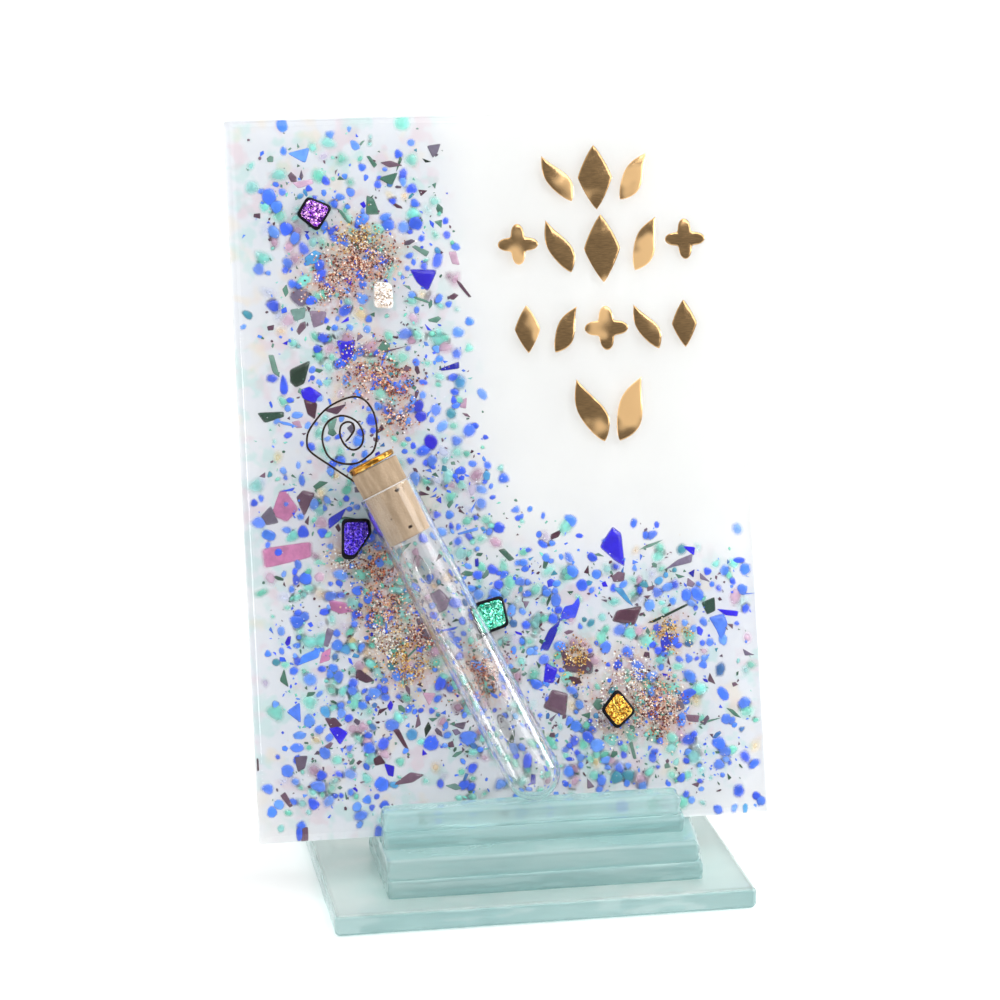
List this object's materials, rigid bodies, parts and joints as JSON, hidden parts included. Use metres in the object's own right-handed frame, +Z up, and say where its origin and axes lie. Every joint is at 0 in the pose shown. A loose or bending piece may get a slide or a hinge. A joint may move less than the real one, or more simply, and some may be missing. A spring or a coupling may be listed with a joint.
{
  "type": "keepsake plaque",
  "caption": "Fused-glass plaque leaning in a stepped glass stand, with a corked test tube aslant on its face as a holder.",
  "frame": {"origin": "centre of the base plate's underside", "axes": "+Z up, the plaque's decorated face towards -Y, +X to the right as seen from the front"},
  "size_m": [0.15, 0.0923, 0.2187],
  "materials": {
    "stand_glass": "fire-polished aqua float glass",
    "clear_glass": "fire-polished",
    "opal_glass": "glossy white opal",
    "frit": "crushed coloured glass, fused in",
    "tube_glass": "clear laboratory glass",
    "adhesive": "clear cured adhesive",
    "tile_purple": "glittering dichroic",
    "tile_silver": "glittering dichroic",
    "tile_indigo": "glittering dichroic",
    "tile_green": "glittering dichroic",
    "tile_amber": "glittering dichroic",
    "gold": "mirror gold foil",
    "cork": "natural cork",
    "gilt": "gilded, slightly worn",
    "wire": "dark annealed wire"
  },
  "bodies": {
    "stand": {"base_plate": "stand_glass", "riser_lower_glass": "stand_glass", "riser_upper_glass": "stand_glass", "front_strip_lower": "stand_glass", "front_strip_upper": "stand_glass", "rear_strip_lower": "stand_glass", "rear_strip_upper": "stand_glass"},
    "panel": {"backing_glass": "opal_glass", "frit_field": "frit", "cover_glass": "clear_glass", "tube_tip": "tube_glass", "tube_stave_1": "tube_glass", "tube_stave_2": "tube_glass", "tube_stave_3": "tube_glass", "tube_stave_4": "tube_glass", "tube_stave_5": "tube_glass", "tube_stave_6": "tube_glass", "tube_stave_7": "tube_glass", "tube_stave_8": "tube_glass", "bead_lower": "adhesive", "bead_upper": "adhesive", "tile_purple": "tile_purple", "tile_silver": "tile_silver", "tile_indigo": "tile_indigo", "tile_green": "tile_green", "tile_amber": "tile_amber", "gold_row_1_leaf_1": "gold", "gold_row_1_lozenge_2": "gold", "gold_row_1_leaf_3": "gold", "gold_row_2_rosette_1": "gold", "gold_row_2_leaf_2": "gold", "gold_row_2_lozenge_3": "gold", "gold_row_2_leaf_4": "gold", "gold_row_2_rosette_5": "gold", "gold_row_3_lozenge_1": "gold", "gold_row_3_leaf_2": "gold", "gold_row_3_rosette_3": "gold", "gold_row_3_leaf_4": "gold", "gold_row_3_lozenge_5": "gold", "gold_row_4_leaf_1": "gold", "gold_row_4_leaf_2": "gold"},
    "stopper": {"cork_stopper": "cork", "gilt_cap": "gilt", "wire_spiral": "wire"}
  },
  "joints": [
    {"name": "panel_lift", "type": "slide", "parent": "stand", "child": "panel", "axis": [0, 0.2924, 0.9563], "range_m": [0, 0.03]},
    {"name": "stopper_pull", "type": "slide", "parent": "panel", "child": "stopper", "axis": [-0.4179, 0.2656, 0.8688], "range_m": [0, 0.03]}
  ]
}
